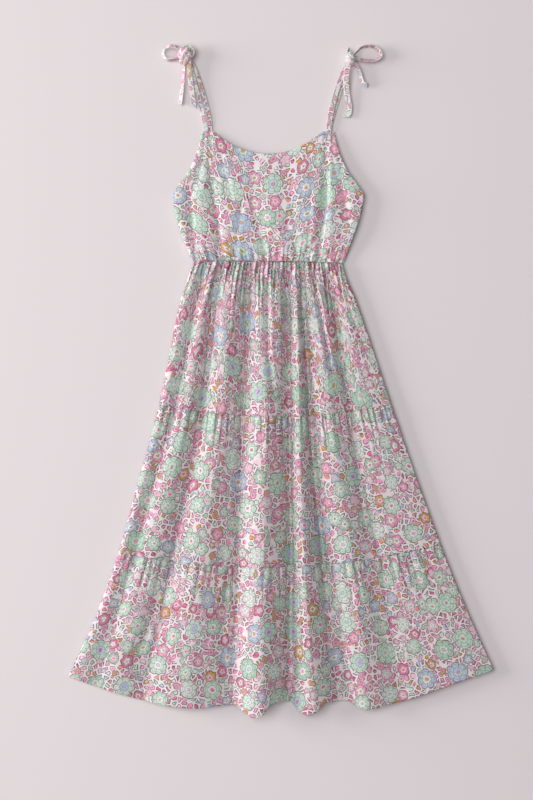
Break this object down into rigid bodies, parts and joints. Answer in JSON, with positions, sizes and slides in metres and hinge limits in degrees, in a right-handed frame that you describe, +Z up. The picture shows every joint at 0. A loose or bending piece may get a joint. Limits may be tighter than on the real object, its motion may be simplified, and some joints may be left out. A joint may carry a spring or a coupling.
{
  "type": "sundress",
  "caption": "Sleeveless sundress with tied shoulder straps, a scoop neck, an elastic waist and a long skirt of gathered tiers, laid out flat.",
  "frame": {"origin": "on the surface the dress lies on, under the middle of the waist elastic at centre front", "axes": "+Y from the hem to the shoulders, +Z up from the surface towards the front of the dress, +X to the viewer's right"},
  "size_m": [0.6414, 1.0084, 0.035],
  "materials": {
    "bodice_cloth": "light plain-woven cotton with a small all-over flower print",
    "skirt_cloth": "light plain-woven cotton with a small all-over flower print",
    "strap_cloth": "folded strips of the same printed cotton"
  },
  "bodies": {
    "root": {"bodice_front": "bodice_cloth", "bodice_back": "bodice_cloth", "skirt_tier1_front": "skirt_cloth", "skirt_tier1_back": "skirt_cloth", "skirt_tier2_front": "skirt_cloth", "skirt_tier2_back": "skirt_cloth", "skirt_tier3_front": "skirt_cloth", "skirt_tier3_back": "skirt_cloth", "bow_left_knot": "strap_cloth", "bow_right_knot": "strap_cloth", "strap_left_front": "strap_cloth", "strap_left_back": "strap_cloth", "bow_left_loop": "strap_cloth", "bow_left_small_loop": "strap_cloth", "bow_left_tail_outer": "strap_cloth", "bow_left_tail_inner": "strap_cloth", "strap_right_front": "strap_cloth", "strap_right_back": "strap_cloth", "bow_right_loop": "strap_cloth", "bow_right_small_loop": "strap_cloth", "bow_right_tail_outer": "strap_cloth", "bow_right_tail_inner": "strap_cloth"}
  },
  "joints": []
}
